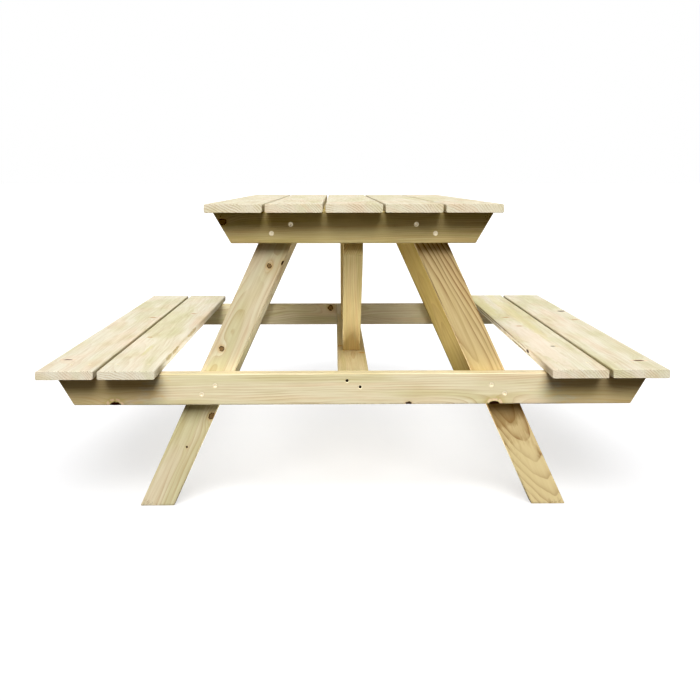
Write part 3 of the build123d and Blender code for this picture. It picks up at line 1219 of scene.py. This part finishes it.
@dataclass
class EndFrame:
    """One end: the top bearer, the seat bearer and two splayed legs behind them.

    Attributes:
        end: -1 for the front, 1 for the back.
        arris: the radius of the timbers' long edges.
        top_end_cut: how much shorter the top bearer is at its lower edge, at each end.
        seat_end_cut: the same for the seat bearer.
        lean: how far a leg's foot goes out for each mm down.
        leg_width: a leg's width.
        top_leg_screws: X and Z of the screws from the top bearer into the right leg.
        seat_leg_screws: the same for the seat bearer.
        stretcher_screws: X at the back, which is turned round at the front, and Z of the screws into the stretcher.
    """

    end: int
    arris: float = 3.0
    top_end_cut: float = 45.0
    seat_end_cut: float = 47.5
    lean: float = 0.451
    leg_width: float = 76.0
    top_leg_screws: tuple[tuple[float, float], ...] = ((152.5, 697.0), (199.0, 675.0))
    seat_leg_screws: tuple[tuple[float, float], ...] = ((336.5, 305.0), (369.0, 284.0))
    stretcher_screws: tuple[tuple[float, float], ...] = ((16.0, 316.0), (-16.0, 300.5))

    @property
    def side(self) -> str:
        """The word for this end in the nodes' names."""
        return "front" if self.end < 0 else "back"

    def woods(self) -> dict[str, Softwood]:
        """Each timber's finish."""
        plain = Softwood(ring=4.4, contrast=0.5, tint=0.40, early=(228, 220, 194))
        if self.end > 0:
            return {
                "top_bearer": replace(plain, seed=41, pith=(-70, 30)),
                "seat_bearer": replace(
                    plain,
                    seed=42,
                    pith=(8, 44),
                    contrast=0.55,
                    knots=(Knot((-61, 641, 321), 9, (0, 1, 0.1), Branch.DEAD),),
                ),
                "leg_left": replace(plain, seed=43, pith=(30, 40), knots=(Knot((-300, 641, 430), 7, (0, 1, 0)),)),
                "leg_right": replace(
                    plain,
                    seed=44,
                    early=(216, 196, 138),
                    pith=(-20, 44),
                    knots=(Knot((262, 603, 560), 5, (0, 1, 0), Branch.LIVE, 0.6),),
                ),
            }
        return {
            "top_bearer": replace(
                plain,
                seed=31,
                pith=(-64, 36),
                # Painted shade: the browner earlywood stands in for the browner look of this bearer in the deep shade
                # under the top.
                early=(222, 208, 160),
                knots=(Knot((-318, -679, 703), 7, (0.2, 1, 0.1), Branch.DEAD, 0.8),),
            ),
            "seat_bearer": replace(
                plain,
                seed=32,
                ring=5.6,
                contrast=0.7,
                keen=3.6,
                pith=(-66, 30),
                knots=(
                    Knot((-578.6, -679, 254.5), 13, (0, 1, 0.15), Branch.LOOSE, 0.85),
                    Knot((344, -679, 254), 12.5, (0, 1, 0.15), Branch.LOOSE, 0.85),
                    Knot((134, -679, 261), 3.5, (0, 1, 0.1), Branch.PIN, 0.5),
                ),
                stains_and_shade=(
                    # Painted shade: browner patches at both ends, where the seat boards shade the bearer.
                    StainOrShade((-640, -679, 300), (170, 60, 26), (218, 192, 130), 0.5),
                    StainOrShade((640, -679, 300), (170, 60, 26), (222, 196, 136), 0.5),
                    StainOrShade((-16, -679, 316), (5, 5, 3), (252, 244, 214), 0.8),
                    StainOrShade((16, -679, 300.5), (5, 5, 3), (252, 244, 214), 0.8),
                ),
            ),
            "leg_left": replace(
                plain,
                seed=33,
                early=(221, 214, 190),
                pith=(-14, 42),
                drift=(0.03, 0.02),
                knots=(
                    Knot((-207, -641, 592.8), 5.4, (0, 1, 0), Branch.DEAD),
                    Knot((-174.4, -641, 600), 2.6, (0.3, 1, 0), Branch.PIN, 0.45),
                    Knot((-324.5, -641, 388.4), 5.8, (0, 1, 0), Branch.DEAD),
                    Knot((-350, -641, 222), 5.5, (0.3, 1, 0), Branch.DEAD, 0.7),
                    Knot((-411, -641, 145), 2.4, (0, 1, 0), Branch.PIN),
                ),
            ),
            "leg_right": replace(
                plain,
                seed=34,
                ring=7.2,
                pith=(31, 19),
                drift=(-0.11, 0.0),
                bow=(600, 0.00014),
                sway=3.0,
                contrast=1.1,
                late=(140, 98, 46),
                early=(213, 196, 156),
                tint=0.2,
                keen=3.0,
                stains_and_shade=(
                    StainOrShade((452, -622, 72), (110, 70, 60), (228, 214, 172), 0.5),
                    # Partly painted shade, partly the leg's own dark figure: darker just under the seat bearer, where
                    # the bearer shades the leg.
                    StainOrShade((374, -641, 240), (52, 90, 50), (150, 118, 68), 0.5),
                ),
            ),
        }

    def bearer(self, kind: str, end_cut: float, wood: Softwood, holes: list[Hole]) -> Timber:
        """A bearer: level, with both ends cut back towards the lower edge.

        Args:
            kind: the start of its node's name.
            end_cut: how much shorter it is at its lower edge, at each end.
            wood: its finish.
            holes: the screws that enter it.

        Returns:
            The timber.
        """
        low, high = node_box(f"{kind}_{self.side}")
        height = high[2] - low[2]
        reach = high[0] - end_cut / 2
        y, z = (low[1] + high[1]) / 2, (low[2] + high[2]) / 2
        return Timber(
            f"{kind}_{self.side}",
            (-reach, y, z),
            (reach, y, z),
            (0, 0, 1),
            height,
            high[1] - low[1],
            self.arris,
            wood,
            "frame_timber",
            start_cut=(height, 0, end_cut),
            end_cut=(height, 0, -end_cut),
            holes=holes,
        )

    def leg(self, hand: int, wood: Softwood) -> Timber:
        """A leg: leaning, with level cuts at the foot and under the boards.

        Args:
            hand: -1 for the left leg, 1 for the right one.
            wood: its finish.

        Returns:
            The timber.
        """
        node = f"leg_{self.side}_{'left' if hand < 0 else 'right'}"
        low, high = node_box(node)
        half = self.leg_width / 2 * math.hypot(1, self.lean)
        foot = max(abs(low[0]), abs(high[0])) - half
        y = (low[1] + high[1]) / 2
        rise = high[2] - low[2]
        return Timber(
            node,
            (hand * foot, y, low[2]),
            (hand * (foot - self.lean * rise), y, high[2]),
            (1, 0, hand * self.lean),
            self.leg_width,
            high[1] - low[1],
            self.arris,
            wood,
            "frame_timber",
            start_cut=(0, 0, 1),
            end_cut=(0, 0, 1),
        )

    def holes(self, screw: Screw, places: tuple[tuple[float, float], ...], hands: tuple[int, ...]) -> list[Hole]:
        """Holes in the bearers' outer faces.

        Args:
            screw: the kind of screw.
            places: X and Z of each.
            hands: -1 and 1 to have each on both sides, or one sign alone.

        Returns:
            The holes.
        """
        low, high = node_box(f"top_bearer_{self.side}")
        outside = self.end * float(max(abs(low[1]), abs(high[1])))
        through = high[1] - low[1] + CLEARANCE
        return [Hole(screw, (hand * x, outside, z), (0, -self.end, 0), through) for x, z in places for hand in hands]

    def groups(self) -> dict[str, list[Hole]]:
        """The holes for each CAD node of screws that go in from outside."""
        return {
            "top_leg_screws": self.holes(LEG_SCREW, self.top_leg_screws, (-1, 1)),
            "seat_leg_screws": self.holes(LEG_SCREW, self.seat_leg_screws, (-1, 1)),
            "stretcher_screws": self.holes(STRETCHER_SCREW, self.stretcher_screws, (self.end,)),
        }

    def build(self) -> None:
        """Makes the end's four timbers."""
        woods, groups = self.woods(), self.groups()
        self.bearer("top_bearer", self.top_end_cut, woods["top_bearer"], groups["top_leg_screws"]).build()
        seat_holes = groups["seat_leg_screws"] + groups["stretcher_screws"]
        self.bearer("seat_bearer", self.seat_end_cut, woods["seat_bearer"], seat_holes).build()
        for hand, side in ((-1, "left"), (1, "right")):
            self.leg(hand, woods[f"leg_{side}"]).build()


@dataclass
class Spine:
    """What stiffens the table: the stretcher, the two braces and the batten under the top.

    Attributes:
        arris: the radius of the timbers' long edges.
        brace_width: a brace's width.
        head_heights: Z of the screws at a brace's head.
        head_seat: how far those are seated in from the top bearer.
        foot_places: how far the screws at a brace's foot are from the table's middle.
        foot_counterbore: how deep those are seated in the stretcher.
        batten_spread: how far each of the batten's screws is from its board's middle line.
        batten_margin: the least distance from a screw to the batten's end.
    """

    arris: float = 3.0
    brace_width: float = 76.0
    head_heights: tuple[float, float] = (662.0, 684.0)
    head_seat: float = 33.0
    foot_places: tuple[float, float] = (306.0, 340.0)
    foot_counterbore: float = 4.0
    batten_spread: float = 38.0
    batten_margin: float = 35.0

    def head_screws(self, end: int) -> list[Hole]:
        """The two screws from a brace's sloping face into the top bearer, each seated in a counterbore."""
        low, high = node_box("brace_front" if end < 0 else "brace_back")
        seat = max(abs(low[1]), abs(high[1])) - self.head_seat
        through = self.head_seat + CLEARANCE
        return [Hole(BRACE_HEAD_SCREW, (0, end * seat, z), (0, end, 0), through) for z in self.head_heights]

    def foot_screws(self) -> list[Hole]:
        """The four screws up through the stretcher into the braces' feet."""
        low, high = node_box("stretcher")
        seat = float(low[2]) + self.foot_counterbore
        through = float(high[2]) - seat + CLEARANCE
        ys = [end * y for end in (-1, 1) for y in self.foot_places]
        return [Hole(BRACE_FOOT_SCREW, (0, y, seat), (0, 0, 1), through) for y in ys]

    def batten_screws(self) -> list[Hole]:
        """The two screws up into each board of the top."""
        low, high = node_box("middle_batten")
        through = float(high[2] - low[2]) + CLEARANCE
        boards = [node_box(f"top_board_{number}") for number in range(1, 6)]
        middles = [(left[0] + right[0]) / 2 for left, right in boards]
        xs = [x for middle in middles for x in spread(middle, self.batten_spread, high[0] - self.batten_margin)]
        return [Hole(BATTEN_SCREW, (x, 0, float(low[2])), (0, 0, 1), through) for x in xs]

    def brace(self, end: int, wood: Softwood) -> Timber:
        """A brace at 45 degrees: a plumb cut against the top bearer, a level cut on the stretcher.

        Args:
            end: -1 for the front one, 1 for the back one.
            wood: its finish.

        Returns:
            The timber.
        """
        node = "brace_front" if end < 0 else "brace_back"
        low, high = node_box(node)
        cut = self.brace_width * math.sqrt(2)
        inner, outer = sorted((abs(low[1]), abs(high[1])))
        return Timber(
            node,
            (0, end * (inner + cut / 2), low[2]),
            (0, end * outer, high[2] - cut / 2),
            (0, 1, -end),
            self.brace_width,
            high[0] - low[0],
            self.arris,
            wood,
            "frame_timber",
            start_cut=(0, 0, 1),
            end_cut=(0, end, 0),
            holes=self.head_screws(end),
        )

    def build(self) -> None:
        """Makes the four timbers."""
        plain = Softwood(ring=4.4, contrast=0.42, tint=0.35, early=(226, 212, 170))
        rail = replace(
            plain,
            seed=51,
            # Painted shade: the darker earlywood stands in for the shade that the top casts on the stretcher.
            early=(206, 195, 164),
            pith=(6, -36),
            drift=(0.01, 0.01),
            contrast=0.6,
            knots=(Knot((-34, -280, 334), 7, (0.4, 0, 1)), Knot((30, -390, 334), 6, (0.4, 0, 1))),
        )
        batten = replace(plain, seed=54, pith=(30, -40))
        Timber.filling("stretcher", 1, self.arris, rail, "frame_timber", self.foot_screws()).build()
        self.brace(-1, replace(plain, seed=52, pith=(-10, 40))).build()
        self.brace(1, replace(plain, seed=53, pith=(14, -42))).build()
        Timber.filling("middle_batten", 0, self.arris, batten, "frame_timber", self.batten_screws()).build()


@dataclass
class Studio:
    """The floor, the light and the camera. Lengths are in metres and lamps' angles in degrees.

    Attributes:
        camera_at: where the camera is.
        down: how far it looks down, in radians.
        toward_right: how far it is turned to the right, in radians.
        lens: its focal length, mm.
        sink: its shift downwards, as a share of the picture.
        front: the front lamp's strength.
        front_height: how high it stands.
        back: the back lamp's strength.
        back_height: how high it stands.
        spread: how wide both lamps are.
        horizon: the sky's strength near the horizon.
        sky: its strength overhead.
        ground: its strength from below.
        panel: the low panel's power.
        panel_side: its width and length.
        panel_at: where it lies.
        floor_reach: how far the floor goes from the middle.
        floor_glow: how bright the floor is behind the table.
        front_floor: the share of that glow in front of it.
        tone: how much the middle tones are lifted.
        black: what the darkest red, green and blue are drawn down from.
    """

    camera_at: Vec = (-0.0474, -3.0333, 0.8029)
    down: float = 0.0238
    toward_right: float = 0.0164
    lens: float = 50.0
    sink: float = -0.2089
    front: float = 3.85
    front_height: float = 43.0
    back: float = 0.5
    back_height: float = 40.0
    spread: float = 40.0
    horizon: float = 0.36
    sky: float = 0.34
    ground: float = 0.06
    panel: float = 7.4
    panel_side: float = 0.6
    panel_at: Vec = (0, -0.34, 0.004)
    floor_reach: float = 200.0
    floor_glow: float = 0.8
    front_floor: Rgba = (0.83, 0.83, 0.835, 1)
    tone: float = 1.3
    black: Vec = (0.014, 0.023, 0.026)

    def stand(self, data: bpy.types.ID, at: Vec = (0, 0, 0), angles: Vec = (0, 0, 0)) -> bpy.types.Object:
        """Puts a lamp, a camera or a mesh into the scene, under its own name.

        Args:
            data: what the object holds.
            at: where it goes.
            angles: how it is turned, in radians.

        Returns:
            The object.
        """
        made = bpy.data.objects.new(data.name, data)
        made.location, made.rotation_euler = at, angles
        bpy.context.scene.collection.objects.link(made)
        return made

    def floor(self) -> None:
        """A white floor, slightly mottled, which throws little light up. It glows, and glows more behind the table:
        painted light that washes out the table's shadow there.
        """
        corners = np.array([(-1, -1, 0), (1, -1, 0), (1, 1, 0), (-1, 1, 0)]) * self.floor_reach
        mesh = bpy.data.meshes.new("floor")
        mesh.from_pydata(corners.tolist(), [], [(0, 1, 2, 3)])
        made = self.stand(mesh)
        made.visible_diffuse = False
        r = Recipe.material("white_floor")
        place = r.objects()
        # Painted light: the glow grows towards the back, so the table's cast shadow behind it fades out.
        glow_behind = r.parts(place)[1].step(-0.3, 0.9)
        material = r.finish(
            {
                "Base Color": (0.3, 0.3, 0.305, 1),
                "Roughness": r.noise(place, 1.5, detail=1.0) * 0.1 + 0.85,
                "Specular IOR Level": 0.0,
                "Emission Color": r.mix(glow_behind, self.front_floor, (1, 1, 1, 1)),
                "Emission Strength": self.floor_glow,
            }
        )
        mesh.materials.append(material)

    def light(self) -> None:
        """A pale sky over a dim ground, seen as white, soft lamps from the front and the back, and a low panel."""
        world = bpy.data.worlds.new("studio")
        bpy.context.scene.world = world
        r = Recipe(world)
        rise = r.parts(r.node("ShaderNodeTexCoord").outputs["Generated"])[2]
        low_sky = rise.step(-0.05, -0.01) * (self.horizon - self.ground)
        glow = low_sky + rise.step(0.20, 0.30) * (self.sky - self.horizon) + self.ground
        seen = Signal(r, r.node("ShaderNodeLightPath").outputs["Is Camera Ray"])
        back = r.node("ShaderNodeBackground", {}, {"Color": (1, 1, 1, 1), "Strength": glow * (1 - seen) + seen})
        r.node("ShaderNodeOutputWorld", {}, {"Surface": back.outputs[0]})
        self.lamp("front_softbox", self.front, self.front_height, 0.0)
        self.lamp("back_softbox", self.back, self.back_height, 180.0)
        panel = bpy.data.lights.new("low_panel", "AREA")
        panel.shape, panel.size, panel.size_y = "RECTANGLE", self.panel_side, self.panel_side
        panel.energy = self.panel
        made = self.stand(panel, self.panel_at, (math.pi, 0, 0))
        made.visible_camera = made.visible_glossy = False

    def lamp(self, name: str, energy: float, height: float, turn: float) -> None:
        """A very soft far lamp.

        Args:
            name: its name.
            energy: its strength.
            height: degrees above the horizon.
            turn: degrees round from the front.
        """
        lamp = bpy.data.lights.new(name, "SUN")
        lamp.energy, lamp.angle = energy, math.radians(self.spread)
        self.stand(lamp, angles=(math.radians(90 - height), 0, math.radians(turn)))

    def camera(self) -> None:
        """The camera, level across, a little above the top."""
        lens = bpy.data.cameras.new("camera")
        lens.lens, lens.sensor_width, lens.shift_y = self.lens, 36.0, self.sink
        lens.clip_end = 1000
        made = self.stand(lens, self.camera_at, (math.pi / 2 - self.down, 0, -self.toward_right))
        bpy.context.scene.camera = made

    def build(self) -> None:
        """Sets the studio up."""
        self.camera()
        self.floor()
        self.light()
        view = bpy.context.scene.view_settings
        view.view_transform, view.look = "Standard", "None"
        view.exposure, view.gamma = 0.0, 1 / self.tone
        view.use_curve_mapping = True
        view.curve_mapping.black_level = self.black


@dataclass
class Fixings:
    """All the screws, as one piece for each CAD node."""

    boards: Boards
    ends: tuple[EndFrame, EndFrame]
    spine: Spine

    def group(self, node: str, holes: list[Hole], material: bpy.types.Material) -> None:
        """One piece for all the screws of a CAD node.

        Args:
            node: the CAD node.
            holes: where each screw goes.
            material: its material.
        """
        slot = "dark_screws" if node == "stretcher_screws" else "bright_screws"
        piece = mesh_object(node + "_set", [hole.screw.shape(hole.at, hole.way) for hole in holes], SHARP_STEEL)
        place_piece(piece, node, material)

    def build(self) -> None:
        """Makes the eight groups."""
        bright, dark = BareSteel().dress("bright_steel"), BlackedSteel().dress("black_steel")
        front, back = (end.groups() for end in self.ends)
        for node in front:
            self.group(node, front[node] + back[node], dark if node == "stretcher_screws" else bright)
        for kind in ("top", "seat"):
            names = [name for name in self.boards.woods() if f"{kind}_board" in name]
            self.group(f"{kind}_board_screws", [h for name in names for h in self.boards.screw_places(name)], bright)
        self.group("brace_head_screws", self.spine.head_screws(-1) + self.spine.head_screws(1), bright)
        self.group("brace_foot_screws", self.spine.foot_screws(), bright)
        self.group("batten_screws", self.spine.batten_screws(), bright)


def main() -> None:
    """Builds the studio, then the table from the boards down."""
    logging.basicConfig(level=logging.INFO, format="%(name)s: %(message)s")
    Studio().build()
    boards = Boards()
    ends = (EndFrame(-1), EndFrame(1))
    boards.build()
    for end in ends:
        end.build()
    spine = Spine()
    spine.build()
    Fixings(boards, ends, spine).build()


if __name__ == "__main__":
    main()
